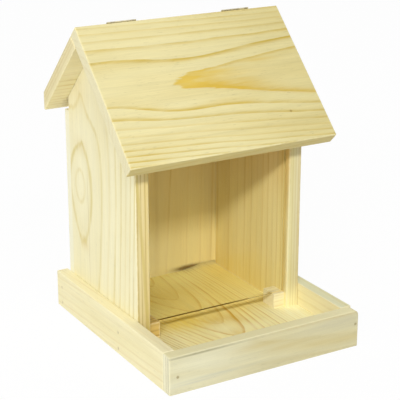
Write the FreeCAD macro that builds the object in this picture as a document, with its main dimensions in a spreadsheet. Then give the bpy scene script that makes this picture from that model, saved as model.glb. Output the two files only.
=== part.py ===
import FreeCAD, Part
import math
import os
import Sketcher

# Hopper bird feeder of nailed pine boards: a rimmed tray, two gabled side walls, a back panel, a clear
# front pane standing on two stop blocks, a fixed front roof board and a hinged rear lid.
# Frame: X along the ridge, Y from the porch to the back, Z up.
# Origin: on the ground, under the middle of the tray.

# Driving dimensions in millimetres, and one angle in degrees.
SIZES = {
    # tray
    "tray_width": 150.0,
    "tray_depth": 173.0,
    "rim_height": 27.0,
    "rim_thickness": 9.0,
    "floor_thickness": 10.0,
    "worn_corner": 4.0,
    # house
    "porch_depth": 60.8,
    "wall_thickness": 10.0,
    "back_thickness": 6.5,
    "rear_ledge": 5.0,
    "vent_gap": 4.0,
    "drain_height": 3.3,
    "drain_length": 44.0,
    "drain_ramp": 24.0,
    # roof
    "ridge_height": 220.5,
    "ridge_setback": 117.0,
    "front_pitch": 45.0,
    "roof_length": 160.0,
    "roof_thickness": 10.0,
    "front_slope": 110.0,
    "lid_overhang": 5.0,
    "lid_joint_gap": 0.4,
    "lid_seat_gap": 0.2,
    "edge_ease": 0.8,
    # pane and stop blocks
    "pane_thickness": 2.0,
    "pane_setback": 5.2,
    "pane_play": 0.25,
    "pane_headroom": 1.0,
    "groove_depth": 3.0,
    "seed_gap": 11.0,
    "block_width": 9.0,
    "block_depth": 14.0,
    "block_setback": 3.2,
    # nails
    "nail_diameter": 1.2,
    "nail_head": 1.7,
    "nail_head_thickness": 0.6,
    "nail_point": 2.0,
    "nail_tip": 0.3,
    "nail_play": 0.1,
    "hole_spare": 0.5,
    "rim_nail_length": 17.0,
    "rim_nail_low": 4.0,
    "rim_nail_high": 16.0,
    "rim_nail_inset": 12.0,
    "left_front_nail_height": 12.0,
    "left_front_nail_inset": 6.0,
    "right_front_nail_height": 17.0,
    "right_front_nail_inset": 2.4,
    "back_nail_length": 18.0,
    "back_nail_inset": 20.0,
    "floor_nail_length": 18.0,
    "floor_nail_inset": 18.0,
    # hinges
    "hinge_length": 22.0,
    "hinge_spacing": 90.0,
    "leaf_thickness": 0.8,
    "leaf_overhang": 0.2,
    "lid_leaf_width": 9.5,
    "pin_diameter": 1.6,
    "pin_grip": 0.02,
    "pin_play": 0.05,
    "middle_knuckle": 8.0,
    "knuckle_gap": 0.3,
    "knuckle_lift": 0.3,
    "screw_diameter": 1.8,
    "screw_head": 3.4,
    "screw_length": 7.0,
    "screw_point": 1.6,
    "screw_tip": 0.4,
    "screw_pitch": 13.0,
}

# Places worked out from the driving dimensions, each from those above it.
PLACES = {
    "half_width": "sizes.tray_width / 2",
    "inner_half": "half_width - sizes.rim_thickness",
    "wall_inner": "inner_half - sizes.wall_thickness",
    "wall_mid": "inner_half - sizes.wall_thickness / 2",
    "left_front_nail": "sizes.left_front_nail_inset - half_width",
    "right_front_nail": "half_width - sizes.right_front_nail_inset",
    "block_inner": "wall_inner - sizes.block_width",
    "block_mid": "wall_inner - sizes.block_width / 2",
    "tray_front": "-sizes.tray_depth / 2",
    "tray_rear": "sizes.tray_depth / 2",
    "side_front": "tray_front + sizes.rim_thickness",
    "wall_front": "tray_front + sizes.porch_depth",
    "back_rear": "tray_rear - sizes.rear_ledge",
    "back_front": "back_rear - sizes.back_thickness",
    "back_mid": "back_rear - sizes.back_thickness / 2",
    "lid_rear": "back_rear + sizes.lid_overhang",
    "pane_front": "wall_front + sizes.pane_setback",
    "pane_rear": "pane_front + sizes.pane_thickness",
    "block_front": "wall_front + sizes.block_setback",
    "block_rear": "block_front + sizes.block_depth",
    "block_middle": "block_front + sizes.block_depth / 2",
    "floor_top": "sizes.floor_thickness",
    "pane_bottom": "floor_top + sizes.seed_gap",
    # slopes: the rear slope stands square to the front one at the ridge
    "up": "sin(sizes.front_pitch * 1deg)",
    "along": "cos(sizes.front_pitch * 1deg)",
    "ridge_y": "tray_front + sizes.ridge_setback",
    "ridge_z": "sizes.ridge_height",
    "front_under_z": "ridge_z - sizes.roof_thickness / along",
    "wall_front_top": "front_under_z - (ridge_y - wall_front) * up / along",
    "pane_top": "front_under_z - (ridge_y - pane_front) * up / along - sizes.pane_headroom",
    "lid_seat": "sizes.roof_thickness + sizes.lid_seat_gap",
    "gable_y": "ridge_y + sizes.roof_thickness * up - lid_seat * along",
    "gable_z": "ridge_z - sizes.roof_thickness * along - lid_seat * up",
    "wall_rear_top": "gable_z - (back_front - gable_y) * along / up",
    "lid_under_z": "ridge_z - sizes.roof_thickness / up",
    "back_top": "lid_under_z - (back_rear - ridge_y) * along / up - sizes.vent_gap",
    "lid_start": "sizes.roof_thickness + sizes.lid_joint_gap",
    "lid_end_top": "(lid_rear - ridge_y) / up",
    "lid_end_under": "lid_end_top + sizes.roof_thickness * along / up",
    # nails
    "nail_hole": "sizes.nail_diameter / 2 + sizes.nail_play",
    "nail_seat": "sizes.nail_head / 2 + sizes.nail_play",
    "rim_nail_front": "wall_front + sizes.rim_nail_inset",
    "rim_nail_bite": "sizes.rim_nail_length - sizes.rim_thickness + sizes.hole_spare",
    "back_nail_low": "floor_top + sizes.back_nail_inset",
    "back_nail_high": "back_top - sizes.back_nail_inset",
    "back_nail_mid": "(back_nail_low + back_nail_high) / 2",
    "back_nail_bite": "sizes.back_nail_length - sizes.back_thickness + sizes.hole_spare",
    "floor_nail_bite": "sizes.floor_nail_length - sizes.floor_thickness + sizes.hole_spare",
    "floor_nail_front": "wall_front + sizes.floor_nail_inset",
    "floor_nail_rear": "back_front - sizes.floor_nail_inset",
    # hinges: u runs down the rear slope from the knuckle axis
    "knuckle_radius": "sizes.pin_diameter / 2 + sizes.pin_play + sizes.leaf_thickness",
    "knuckle_clear": "knuckle_radius + sizes.knuckle_gap",
    "axis_lift": "knuckle_radius + sizes.knuckle_lift",
    "axis_run": "sizes.roof_thickness + sizes.lid_joint_gap / 2",
    "axis_y": "ridge_y + axis_run * up + axis_lift * along",
    "axis_z": "ridge_z - axis_run * along + axis_lift * up",
    "leaf_low": "-axis_lift",
    "leaf_top": "sizes.leaf_thickness - axis_lift",
    "fixed_leaf_width": "axis_run + sizes.leaf_overhang",
    "fixed_screw_u": "-(knuckle_clear + fixed_leaf_width) / 2",
    "lid_screw_u": "(knuckle_clear + sizes.lid_leaf_width) / 2",
    "screw_hole": "sizes.screw_diameter / 2 + sizes.nail_play",
    "screw_head_height": "(sizes.screw_head - sizes.screw_diameter) / 2",
    "screw_bite": "sizes.screw_length - sizes.leaf_thickness + sizes.hole_spare",
    "hinge_half": "sizes.hinge_spacing / 2",
    "screw_half": "sizes.screw_pitch / 2",
}

ROUGH_RADIUS = 10.0
TOUCH = 1e-4

doc = FreeCAD.newDocument("hopper_bird_feeder")
parts = []


def fill_sheet(name, cells, prefix):
    sheet = doc.addObject("Spreadsheet::Sheet", name)
    for row, (alias, value) in enumerate(cells.items(), start=1):
        sheet.set(f"A{row}", alias)
        sheet.set(f"B{row}", f"{prefix}{value}")
        sheet.setAlias(f"B{row}", alias)
    doc.recompute()
    return sheet


sizes = fill_sheet("sizes", SIZES, "")
places = fill_sheet("places", PLACES, "=")


# Helpers for bodies made from sketches

def minus(formula):
    return f"-({formula})"


def new_body(label):
    body = doc.addObject("PartDesign::Body", label)
    body.Label = label
    parts.append(body)
    return body


def set_place(item, at, axis=None, angle=None):
    if axis:
        item.Placement = FreeCAD.Placement(FreeCAD.Vector(), FreeCAD.Rotation(FreeCAD.Vector(*axis), 1))
        item.setExpression("Placement.Rotation.Angle", angle)
    for letter, formula in zip("xyz", at):
        item.setExpression(f"Placement.Base.{letter}", formula)


def new_sketch(body, role, offset):
    plane = next(item for item in body.Origin.OriginFeatures if item.Role == role)
    sketch = body.newObject("Sketcher::SketchObject", f"{body.Label}_sketch")
    sketch.AttachmentSupport = (plane, [""])
    sketch.MapMode = "FlatFace"
    sketch.setExpression("AttachmentOffset.Base.z", offset)
    return sketch


def pin_point(sketch, shape, point, formulas):
    for kind, formula in zip(("DistanceX", "DistanceY"), formulas):
        number = sketch.addConstraint(Sketcher.Constraint(kind, -1, 1, shape, point, 1.0))
        sketch.setExpression(f"Constraints[{number}]", formula)


def draw_outline(sketch, corners):
    count = len(corners)
    turn = 2 * math.pi / count
    rough = [FreeCAD.Vector(math.cos(i * turn), math.sin(i * turn), 0) * ROUGH_RADIUS for i in range(count)]
    lines = [sketch.addGeometry(Part.LineSegment(rough[i - 1], rough[i])) for i in range(count)]
    for i in range(count):
        sketch.addConstraint(Sketcher.Constraint("Coincident", lines[i - 1], 2, lines[i], 1))
    for line, formulas in zip(lines, corners):
        pin_point(sketch, line, 2, formulas)


def draw_circles(sketch, centres, radius):
    for formulas in centres:
        shape = Part.Circle(FreeCAD.Vector(0, 0, 0), FreeCAD.Vector(0, 0, 1), 1.0)
        circle = sketch.addGeometry(shape)
        pin_point(sketch, circle, 3, formulas)
        number = sketch.addConstraint(Sketcher.Constraint("Radius", circle, 1.0))
        sketch.setExpression(f"Constraints[{number}]", radius)


def corners_of(low, high):
    return [low, (high[0], low[1]), high, (low[0], high[1])]


def add_pad(body, sketch, length, symmetric=False):
    pad = body.newObject("PartDesign::Pad", f"{body.Label}_pad")
    pad.Profile = sketch
    pad.setExpression("Length", length)
    if symmetric:
        pad.SideType = "Symmetric"
    doc.recompute()
    return pad


def board(label, role, offset, corners, length, symmetric=False):
    body = new_body(label)
    sketch = new_sketch(body, role, offset)
    draw_outline(sketch, corners)
    add_pad(body, sketch, length, symmetric)
    return body


def add_pocket(body, sketch, depth, reverse, symmetric=False):
    before = body.Shape.Volume
    pocket = body.newObject("PartDesign::Pocket", f"{body.Label}_pocket")
    pocket.Profile = sketch
    pocket.setExpression("Length", depth)
    pocket.Reversed = reverse
    if symmetric:
        pocket.SideType = "Symmetric"
    doc.recompute()
    if body.Shape.Volume > before - TOUCH:
        raise RuntimeError(f"{pocket.Label} cuts nothing from {body.Label}")


def drill(body, role, offset, centres, radius, depth, reverse=False):
    sketch = new_sketch(body, role, offset)
    draw_circles(sketch, centres, radius)
    add_pocket(body, sketch, depth, reverse)


# A nailed board has a through hole and a seat for the flat head; the board behind it has a blind hole.
def nail_through(body, role, offset, centres, thickness, reverse):
    drill(body, role, offset, centres, "places.nail_hole", thickness, reverse)
    drill(body, role, offset, centres, "places.nail_seat", "sizes.nail_head_thickness", reverse)


# Whether the two faces at an edge meet at an angle, rather than running on into each other
def meets_sharply(shape, edge):
    middle = edge.valueAt((edge.FirstParameter + edge.LastParameter) / 2)
    faces = shape.ancestorsOfType(edge, Part.Face)
    first, second = [face.normalAt(*face.Surface.parameter(middle)) for face in faces]
    return first.dot(second) < 0.99


def round_edges(body, wanted, radius):
    base = body.Tip
    edges = enumerate(base.Shape.Edges, start=1)
    names = [f"Edge{i}" for i, edge in edges if wanted(edge) and meets_sharply(base.Shape, edge)]
    fillet = body.newObject("PartDesign::Fillet", f"{body.Label}_round")
    fillet.Base = (base, names)
    fillet.setExpression("Radius", radius)
    doc.recompute()


def ease_edges(body, wanted):
    round_edges(body, wanted, "sizes.edge_ease")


def above_ground(edge):
    return edge.BoundBox.ZMax > TOUCH


def every_edge(edge):
    return True


def right_top_end(edge):
    box = edge.BoundBox
    return box.XMin > places.get("half_width") - TOUCH and box.ZMin > sizes.get("rim_height") - TOUCH


def front_upright(edge):
    box = edge.BoundBox
    return box.YMax < places.get("wall_front") + TOUCH and box.ZLength > box.XLength


# Where the nails stand, as pairs on the face that they enter
RIM_NAILS_LOW = [("places.rim_nail_front", "sizes.rim_nail_low"), ("places.back_mid", "sizes.rim_nail_low")]
WALL_NAIL = ("places.rim_nail_front", "sizes.rim_nail_high")
BACK_END_NAIL = ("places.back_mid", "sizes.rim_nail_high")
RIM_NAILS = RIM_NAILS_LOW + [WALL_NAIL, BACK_END_NAIL]
FRONT_NAILS = {
    -1: ("places.left_front_nail", "sizes.left_front_nail_height"),
    1: ("places.right_front_nail", "sizes.right_front_nail_height"),
}
BACK_NAIL_HEIGHTS = [f"places.back_nail_{level}" for level in ("low", "mid", "high")]
WALL_FLOOR_NAILS = {
    side: [(f"{side} * places.wall_mid", f"places.floor_nail_{end}") for end in ("front", "rear")]
    for side in (-1, 1)
}
BLOCK_NAIL = {side: (f"{side} * places.block_mid", "places.block_middle") for side in (-1, 1)}
FLOOR_NAILS = WALL_FLOOR_NAILS[-1] + WALL_FLOOR_NAILS[1] + [BLOCK_NAIL[-1], BLOCK_NAIL[1]]
SIDES = {-1: "left", 1: "right"}


# Tray

def make_floor():
    low = ("-places.inner_half", "places.side_front")
    high = ("places.inner_half", "places.tray_rear")
    body = board("floor_board", "XY_Plane", "0", corners_of(low, high), "sizes.floor_thickness")
    nail_through(body, "XY_Plane", "0", FLOOR_NAILS, "sizes.floor_thickness", True)
    for side in SIDES:
        face = f"{side} * places.inner_half"
        drill(body, "YZ_Plane", face, RIM_NAILS_LOW, "places.nail_hole", "places.rim_nail_bite", side < 0)


def make_front_rim():
    low = ("-places.half_width", "places.tray_front")
    high = ("places.half_width", "places.side_front")
    body = board("front_rim", "XY_Plane", "0", corners_of(low, high), "sizes.rim_height")
    round_edges(body, right_top_end, "sizes.worn_corner")
    ease_edges(body, above_ground)
    nails = list(FRONT_NAILS.values())
    nail_through(body, "XZ_Plane", minus("places.tray_front"), nails, "sizes.rim_thickness", False)


def make_side_rim(side):
    low = (f"{side} * places.inner_half", "places.side_front")
    high = (f"{side} * places.half_width", "places.tray_rear")
    body = board(f"{SIDES[side]}_rim", "XY_Plane", "0", corners_of(low, high), "sizes.rim_height")
    ease_edges(body, above_ground)
    outside = f"{side} * places.half_width"
    nail_through(body, "YZ_Plane", outside, RIM_NAILS, "sizes.rim_thickness", side < 0)
    front = minus("places.side_front")
    drill(body, "XZ_Plane", front, [FRONT_NAILS[side]], "places.nail_hole", "places.rim_nail_bite")


# House

def make_wall(side):
    gable = [
        ("places.wall_front", "places.floor_top"),
        ("places.back_front", "places.floor_top"),
        ("places.back_front", "places.wall_rear_top"),
        ("places.gable_y", "places.gable_z"),
        ("places.wall_front", "places.wall_front_top"),
    ]
    near = "places.wall_inner" if side > 0 else "-places.inner_half"
    body = board(f"{SIDES[side]}_wall", "YZ_Plane", near, gable, "sizes.wall_thickness")
    ease_edges(body, front_upright)
    groove = new_sketch(body, "XY_Plane", "0")
    low = (f"{side} * places.wall_inner", "places.pane_front - sizes.pane_play")
    high = (f"{side} * (places.wall_inner + sizes.groove_depth)", "places.pane_rear + sizes.pane_play")
    draw_outline(groove, corners_of(low, high))
    add_pocket(body, groove, "sizes.ridge_height", True)
    outside = f"{side} * places.inner_half"
    drill(body, "YZ_Plane", outside, [WALL_NAIL], "places.nail_hole", "places.rim_nail_bite", side < 0)
    under = WALL_FLOOR_NAILS[side]
    drill(body, "XY_Plane", "places.floor_top", under, "places.nail_hole", "places.floor_nail_bite", True)
    rear = [(f"{side} * places.wall_mid", height) for height in BACK_NAIL_HEIGHTS]
    face = minus("places.back_front")
    drill(body, "XZ_Plane", face, rear, "places.nail_hole", "places.back_nail_bite", True)


def make_back_panel():
    drain_x = "places.inner_half - sizes.drain_length"
    drain_z = "places.floor_top + sizes.drain_height"
    outline = [
        ("-places.inner_half", "places.floor_top"),
        (drain_x, "places.floor_top"),
        (f"{drain_x} + sizes.drain_ramp", drain_z),
        ("places.inner_half", drain_z),
        ("places.inner_half", "places.back_top"),
        ("-places.inner_half", "places.back_top"),
    ]
    body = board("back_panel", "XZ_Plane", minus("places.back_rear"), outline, "sizes.back_thickness")
    nails = [(f"{side} * places.wall_mid", height) for side in SIDES for height in BACK_NAIL_HEIGHTS]
    nail_through(body, "XZ_Plane", minus("places.back_rear"), nails, "sizes.back_thickness", True)
    for side in SIDES:
        face = f"{side} * places.inner_half"
        drill(body, "YZ_Plane", face, [BACK_END_NAIL], "places.nail_hole", "places.rim_nail_bite", side < 0)


def make_pane():
    half = "places.wall_inner + sizes.groove_depth - sizes.pane_play"
    corners = corners_of((minus(half), "places.pane_bottom"), (half, "places.pane_top"))
    board("front_pane", "XZ_Plane", minus("places.pane_rear"), corners, "sizes.pane_thickness")


def make_stop_block(side):
    low = (f"{side} * places.wall_inner", "places.block_front")
    high = (f"{side} * places.block_inner", "places.block_rear")
    label = f"{SIDES[side]}_stop_block"
    body = board(label, "XY_Plane", "places.floor_top", corners_of(low, high), "sizes.seed_gap")
    nail = [BLOCK_NAIL[side]]
    drill(body, "XY_Plane", "places.floor_top", nail, "places.nail_hole", "places.floor_nail_bite", True)


# Roof: both boards are drawn flat, from the ridge corner, and turned to their slopes.

SCREW_SPOTS = [
    f"{side} * places.hinge_half + {end} * places.screw_half" for side in SIDES for end in (-1, 1)
]
FIXED_SCREWS = [(x, "-(places.axis_run + places.fixed_screw_u)") for x in SCREW_SPOTS]
LID_SCREWS = [(x, "places.axis_run + places.lid_screw_u") for x in SCREW_SPOTS]
RIDGE = ("0", "places.ridge_y", "places.ridge_z")
LID_TURN = "sizes.front_pitch - 90"
X_AXIS = (1, 0, 0)
Y_AXIS = (0, 1, 0)


def make_front_roof():
    corners = corners_of(("-sizes.front_slope", "-sizes.roof_thickness"), ("0", "0"))
    body = board("front_roof", "YZ_Plane", "0", corners, "sizes.roof_length", True)
    ease_edges(body, every_edge)
    drill(body, "XZ_Plane", "0", FIXED_SCREWS, "places.screw_hole", "places.screw_bite", True)
    set_place(body, RIDGE, X_AXIS, "sizes.front_pitch")


def make_lid():
    profile = [
        ("places.lid_start", "0"),
        ("places.lid_end_top", "0"),
        ("places.lid_end_under", "-sizes.roof_thickness"),
        ("places.lid_start", "-sizes.roof_thickness"),
    ]
    body = board("rear_lid", "YZ_Plane", "0", profile, "sizes.roof_length", True)
    ease_edges(body, every_edge)
    drill(body, "XY_Plane", "0", LID_SCREWS, "places.screw_hole", "places.screw_bite")
    set_place(body, RIDGE, X_AXIS, LID_TURN)


# Hinges: each leaf is a plate whose tabs roll up into knuckles round the pin.

def hinge_place(side):
    return (f"{side} * places.hinge_half", "places.axis_y", "places.axis_z")


def make_leaf(label, side, plate, tab, knuckle_length, bore, screw_u):
    body = new_body(label)
    plate_sketch = new_sketch(body, "YZ_Plane", "0")
    draw_outline(plate_sketch, corners_of((plate[0], "places.leaf_low"), (plate[1], "places.leaf_top")))
    add_pad(body, plate_sketch, "sizes.hinge_length", True)
    tab_sketch = new_sketch(body, "YZ_Plane", "0")
    draw_outline(tab_sketch, corners_of((tab[0], "places.leaf_low"), (tab[1], "places.leaf_top")))
    add_pad(body, tab_sketch, knuckle_length, True)
    barrel_sketch = new_sketch(body, "YZ_Plane", "0")
    draw_circles(barrel_sketch, [("0", "0")], "places.knuckle_radius")
    add_pad(body, barrel_sketch, knuckle_length, True)
    bore_sketch = new_sketch(body, "YZ_Plane", "0")
    draw_circles(bore_sketch, [("0", "0")], bore)
    add_pocket(body, bore_sketch, knuckle_length, False, True)
    screw_sketch = new_sketch(body, "XY_Plane", "places.leaf_top")
    centres = [(f"{end} * places.screw_half", screw_u) for end in (-1, 1)]
    draw_circles(screw_sketch, centres, "places.screw_hole")
    doc.recompute()
    hole = body.newObject("PartDesign::Hole", f"{label}_screw_holes")
    hole.Profile = screw_sketch
    hole.DepthType = "ThroughAll"
    hole.setExpression("Diameter", "2 * places.screw_hole")
    hole.HoleCutType = "Countersink"
    hole.HoleCutCustomValues = True
    hole.setExpression("HoleCutDiameter", "sizes.screw_head + 2 * sizes.nail_play")
    hole.HoleCutCountersinkAngle = 90
    doc.recompute()
    set_place(body, hinge_place(side), X_AXIS, LID_TURN)
    return body


def make_hinge(side):
    name = f"{SIDES[side]}_hinge"
    plate = ("-places.fixed_leaf_width", "-places.knuckle_clear")
    tab = ("-places.knuckle_clear", "0")
    bore = "sizes.pin_diameter / 2 + sizes.pin_grip"
    label = f"{name}_roof_leaf"
    fixed = make_leaf(label, side, plate, tab, "sizes.hinge_length", bore, "places.fixed_screw_u")
    gap_sketch = new_sketch(fixed, "YZ_Plane", "0")
    reach = "places.knuckle_clear"
    draw_outline(gap_sketch, corners_of((minus(reach), minus(reach)), (reach, reach)))
    add_pocket(fixed, gap_sketch, "sizes.middle_knuckle + 2 * sizes.knuckle_gap", False, True)
    plate = ("places.knuckle_clear", "sizes.lid_leaf_width")
    tab = ("0", "places.knuckle_clear")
    bore = "sizes.pin_diameter / 2 + sizes.pin_play"
    label = f"{name}_lid_leaf"
    make_leaf(label, side, plate, tab, "sizes.middle_knuckle", bore, "places.lid_screw_u")
    pin = new_body(f"{name}_pin")
    pin_sketch = new_sketch(pin, "YZ_Plane", "0")
    draw_circles(pin_sketch, [("0", "0")], "sizes.pin_diameter / 2")
    add_pad(pin, pin_sketch, "sizes.hinge_length", True)
    set_place(pin, hinge_place(side))


# Fasteners: each is drawn pointing along its own Z, with the top of its head at zero.

def solid_piece(kind, low, **dimensions):
    piece = doc.addObject(f"Part::{kind}", "piece")
    for name, formula in dimensions.items():
        piece.setExpression(name, formula)
    piece.setExpression("Placement.Base.z", low)
    return piece


def fastener(head, neck, length, diameter, point, tip):
    radius = f"{diameter} / 2"
    point_start = f"{length} - {point}"
    shank = solid_piece("Cylinder", neck, Radius=radius, Height=f"{point_start} - {neck}")
    end = solid_piece("Cone", point_start, Radius1=radius, Radius2=f"{tip} / 2", Height=point)
    whole = doc.addObject("Part::MultiFuse", "fastener")
    whole.Shapes = [head, shank, end]
    return whole


def nail(length):
    neck = "sizes.nail_head_thickness"
    head = solid_piece("Cylinder", "0", Radius="sizes.nail_head / 2", Height=neck)
    return fastener(head, neck, length, "sizes.nail_diameter", "sizes.nail_point", "sizes.nail_tip")


def screw():
    neck = "places.screw_head_height"
    rim = "sizes.screw_head / 2"
    head = solid_piece("Cone", "0", Radius1=rim, Radius2="sizes.screw_diameter / 2", Height=neck)
    length = "sizes.screw_length"
    return fastener(head, neck, length, "sizes.screw_diameter", "sizes.screw_point", "sizes.screw_tip")


def group(label, items):
    compound = doc.addObject("Part::Compound", label)
    compound.Label = label
    compound.Links = items
    parts.append(compound)


def placed(item, at, axis=None, angle=None):
    set_place(item, at, axis, angle)
    return item


def make_nails():
    length = "sizes.rim_nail_length"
    face = "places.tray_front"
    front = [placed(nail(length), (x, face, z), X_AXIS, "-90") for x, z in FRONT_NAILS.values()]
    group("front_rim_nails", front)
    for side, name in SIDES.items():
        face = f"{side} * places.half_width"
        turn = f"{-90 * side}"
        group(f"{name}_rim_nails", [placed(nail(length), (face, y, z), Y_AXIS, turn) for y, z in RIM_NAILS])
    length = "sizes.back_nail_length"
    spots = [(f"{side} * places.wall_mid", height) for side in SIDES for height in BACK_NAIL_HEIGHTS]
    back = [placed(nail(length), (x, "places.back_rear", z), X_AXIS, "90") for x, z in spots]
    group("back_panel_nails", back)
    length = "sizes.floor_nail_length"
    group("floor_nails", [placed(nail(length), (x, y, "0")) for x, y in FLOOR_NAILS])


def make_screws():
    rows = {"roof_leaf_screws": "places.fixed_screw_u", "lid_leaf_screws": "places.lid_screw_u"}
    for label, offset in rows.items():
        y = f"places.axis_y + {offset} * places.up + places.leaf_top * places.along"
        z = f"places.axis_z - {offset} * places.along + places.leaf_top * places.up"
        group(label, [placed(screw(), (x, y, z), X_AXIS, "sizes.front_pitch + 90") for x in SCREW_SPOTS])


def check_and_write():
    doc.recompute()
    for item in doc.Objects:
        if "Invalid" in item.State or "Error" in item.State:
            raise RuntimeError(f"{item.Label} failed: {item.State}")
    for part in parts:
        if part.Shape.isNull() or not part.Shape.isValid():
            raise RuntimeError(f"{part.Label} has no valid shape")
    os.makedirs("parts", exist_ok=True)
    for part in parts:
        part.Shape.exportStep(f"parts/{part.Label}.step")
        print(f"{part.Label}: {len(part.Shape.Solids)} solids, {part.Shape.Volume:.1f} mm3")


make_floor()
make_front_rim()
for which in SIDES:
    make_side_rim(which)
    make_wall(which)
    make_stop_block(which)
make_back_panel()
make_pane()
make_front_roof()
make_lid()
for which in SIDES:
    make_hinge(which)
make_nails()
make_screws()
check_and_write()
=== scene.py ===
import math
import bmesh
import bpy
from mathutils import Matrix, Vector


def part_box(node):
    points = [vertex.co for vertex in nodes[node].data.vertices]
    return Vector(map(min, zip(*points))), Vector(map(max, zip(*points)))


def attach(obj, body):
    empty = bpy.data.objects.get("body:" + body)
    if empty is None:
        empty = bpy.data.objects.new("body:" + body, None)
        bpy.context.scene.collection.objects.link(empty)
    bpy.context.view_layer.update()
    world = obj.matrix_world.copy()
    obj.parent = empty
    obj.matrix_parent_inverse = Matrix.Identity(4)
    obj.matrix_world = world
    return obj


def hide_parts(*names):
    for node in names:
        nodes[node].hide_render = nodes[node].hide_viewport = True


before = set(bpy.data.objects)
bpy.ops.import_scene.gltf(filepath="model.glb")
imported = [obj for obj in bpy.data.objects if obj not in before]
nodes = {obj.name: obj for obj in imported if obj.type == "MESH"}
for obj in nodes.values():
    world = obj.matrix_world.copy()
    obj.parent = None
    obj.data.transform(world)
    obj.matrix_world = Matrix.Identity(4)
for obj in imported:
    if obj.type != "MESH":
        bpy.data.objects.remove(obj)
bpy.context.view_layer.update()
scene = bpy.context.scene
scene.view_settings.view_transform = "Standard"
mmPerMetre = 1000  # meshes are in metres, the patterns of the materials in millimetres
pitch = math.radians(45)  # of the roof, and so of the hinge leaves on it
slope = math.sqrt(0.5)  # sine and cosine of that pitch
print("feeder loaded:", len(nodes), "pieces")


# colours are written as they look on screen, 0 to 255
def tone(red, green, blue):
    shown = [level / 255 for level in (red, green, blue)]
    linear = [v / 12.92 if v <= 0.04045 else ((v + 0.055) / 1.055) ** 2.4 for v in shown]
    return (*linear, 1.0)


# small helpers for wiring shader nodes

def feed(tree, socket, value):
    if isinstance(value, bpy.types.NodeSocket):
        tree.links.new(value, socket)
    else:
        socket.default_value = value


def addNode(tree, kind, inputs=None, **settings):
    node = tree.nodes.new("ShaderNode" + kind)
    for name, value in settings.items():
        setattr(node, name, value)
    for key, value in (inputs or {}).items():
        feed(tree, node.inputs[key], value)
    return node


def calc(tree, operation, *values):
    return addNode(tree, "Math", dict(enumerate(values)), operation=operation).outputs[0]


def vectorCalc(tree, operation, *values):
    node = addNode(tree, "VectorMath", dict(enumerate(values)), operation=operation)
    return node.outputs["Value" if operation in ("DOT_PRODUCT", "LENGTH", "DISTANCE") else "Vector"]


def smoothStep(tree, value, low, high, start=0.0, end=1.0):
    inputs = {"Value": value, "From Min": low, "From Max": high, "To Min": start, "To Max": end}
    return addNode(tree, "MapRange", inputs, interpolation_type="SMOOTHSTEP").outputs[0]


# stretch is the number of waves in a unit of length along each axis
def noiseAt(tree, vector, stretch, detail=2.0, roughness=0.5):
    stretched = vectorCalc(tree, "MULTIPLY", vector, stretch)
    inputs = {"Vector": stretched, "Scale": 1.0, "Detail": detail, "Roughness": roughness}
    return addNode(tree, "TexNoise", inputs).outputs[0]


# a noise about zero
def swing(tree, noise):
    return calc(tree, "SUBTRACT", noise, 0.5)


# 1 at the middle, falling away smoothly
def hump(tree, away):
    return calc(tree, "EXPONENT", calc(tree, "MULTIPLY", vectorCalc(tree, "DOT_PRODUCT", away, away), -1.0))


def evenVector(tree, value):
    return addNode(tree, "CombineXYZ", {0: value, 1: value, 2: value}).outputs[0]


def scaled(tree, vector, factor):
    return vectorCalc(tree, "MULTIPLY", vector, evenVector(tree, factor))


def blendColor(tree, factor, first, second, kind="MIX"):
    inputs = {0: factor, 6: first, 7: second}  # sockets 6 and 7 of a Mix node are its colours
    return addNode(tree, "Mix", inputs, data_type="RGBA", blend_type=kind).outputs[2]


def newGroup(name, inputs, outputs):
    tree = bpy.data.node_groups.new(name, "ShaderNodeTree")
    for label, kind, value in inputs:
        socket = tree.interface.new_socket(label, in_out="INPUT", socket_type="NodeSocket" + kind)
        socket.default_value = value
    for label, kind in outputs:
        tree.interface.new_socket(label, in_out="OUTPUT", socket_type="NodeSocket" + kind)
    return tree, tree.nodes.new("NodeGroupInput").outputs, tree.nodes.new("NodeGroupOutput").inputs


def fillGroup(tree, group, inputs):
    node = tree.nodes.new("ShaderNodeGroup")
    node.node_tree = group
    for key, value in inputs.items():
        feed(tree, node.inputs[key], value)
    return node.outputs


# small helpers for materials

def newMaterial(name):
    material = bpy.data.materials.new(name)
    material.use_nodes = True
    return material, material.node_tree, material.node_tree.nodes["Principled BSDF"]


def inMillimetres(tree, coords, turn=(0, 0, 0), start=(0, 0, 0)):
    inputs = {"Vector": coords.outputs["Object"], "Rotation": turn, "Location": start}
    return addNode(tree, "Mapping", inputs | {"Scale": (mmPerMetre, mmPerMetre, mmPerMetre)}).outputs[0]


def fillShader(tree, shader, color, rough, height, bump, bumpDepth):
    relief = addNode(tree, "Bump", {"Strength": bump, "Distance": bumpDepth, "Height": height})
    feed(tree, shader.inputs["Base Color"], color)
    feed(tree, shader.inputs["Roughness"], rough)
    feed(tree, shader.inputs["Normal"], relief.outputs[0])


def dress(name, material):
    nodes[name].data.materials.clear()
    nodes[name].data.materials.append(material)


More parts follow.
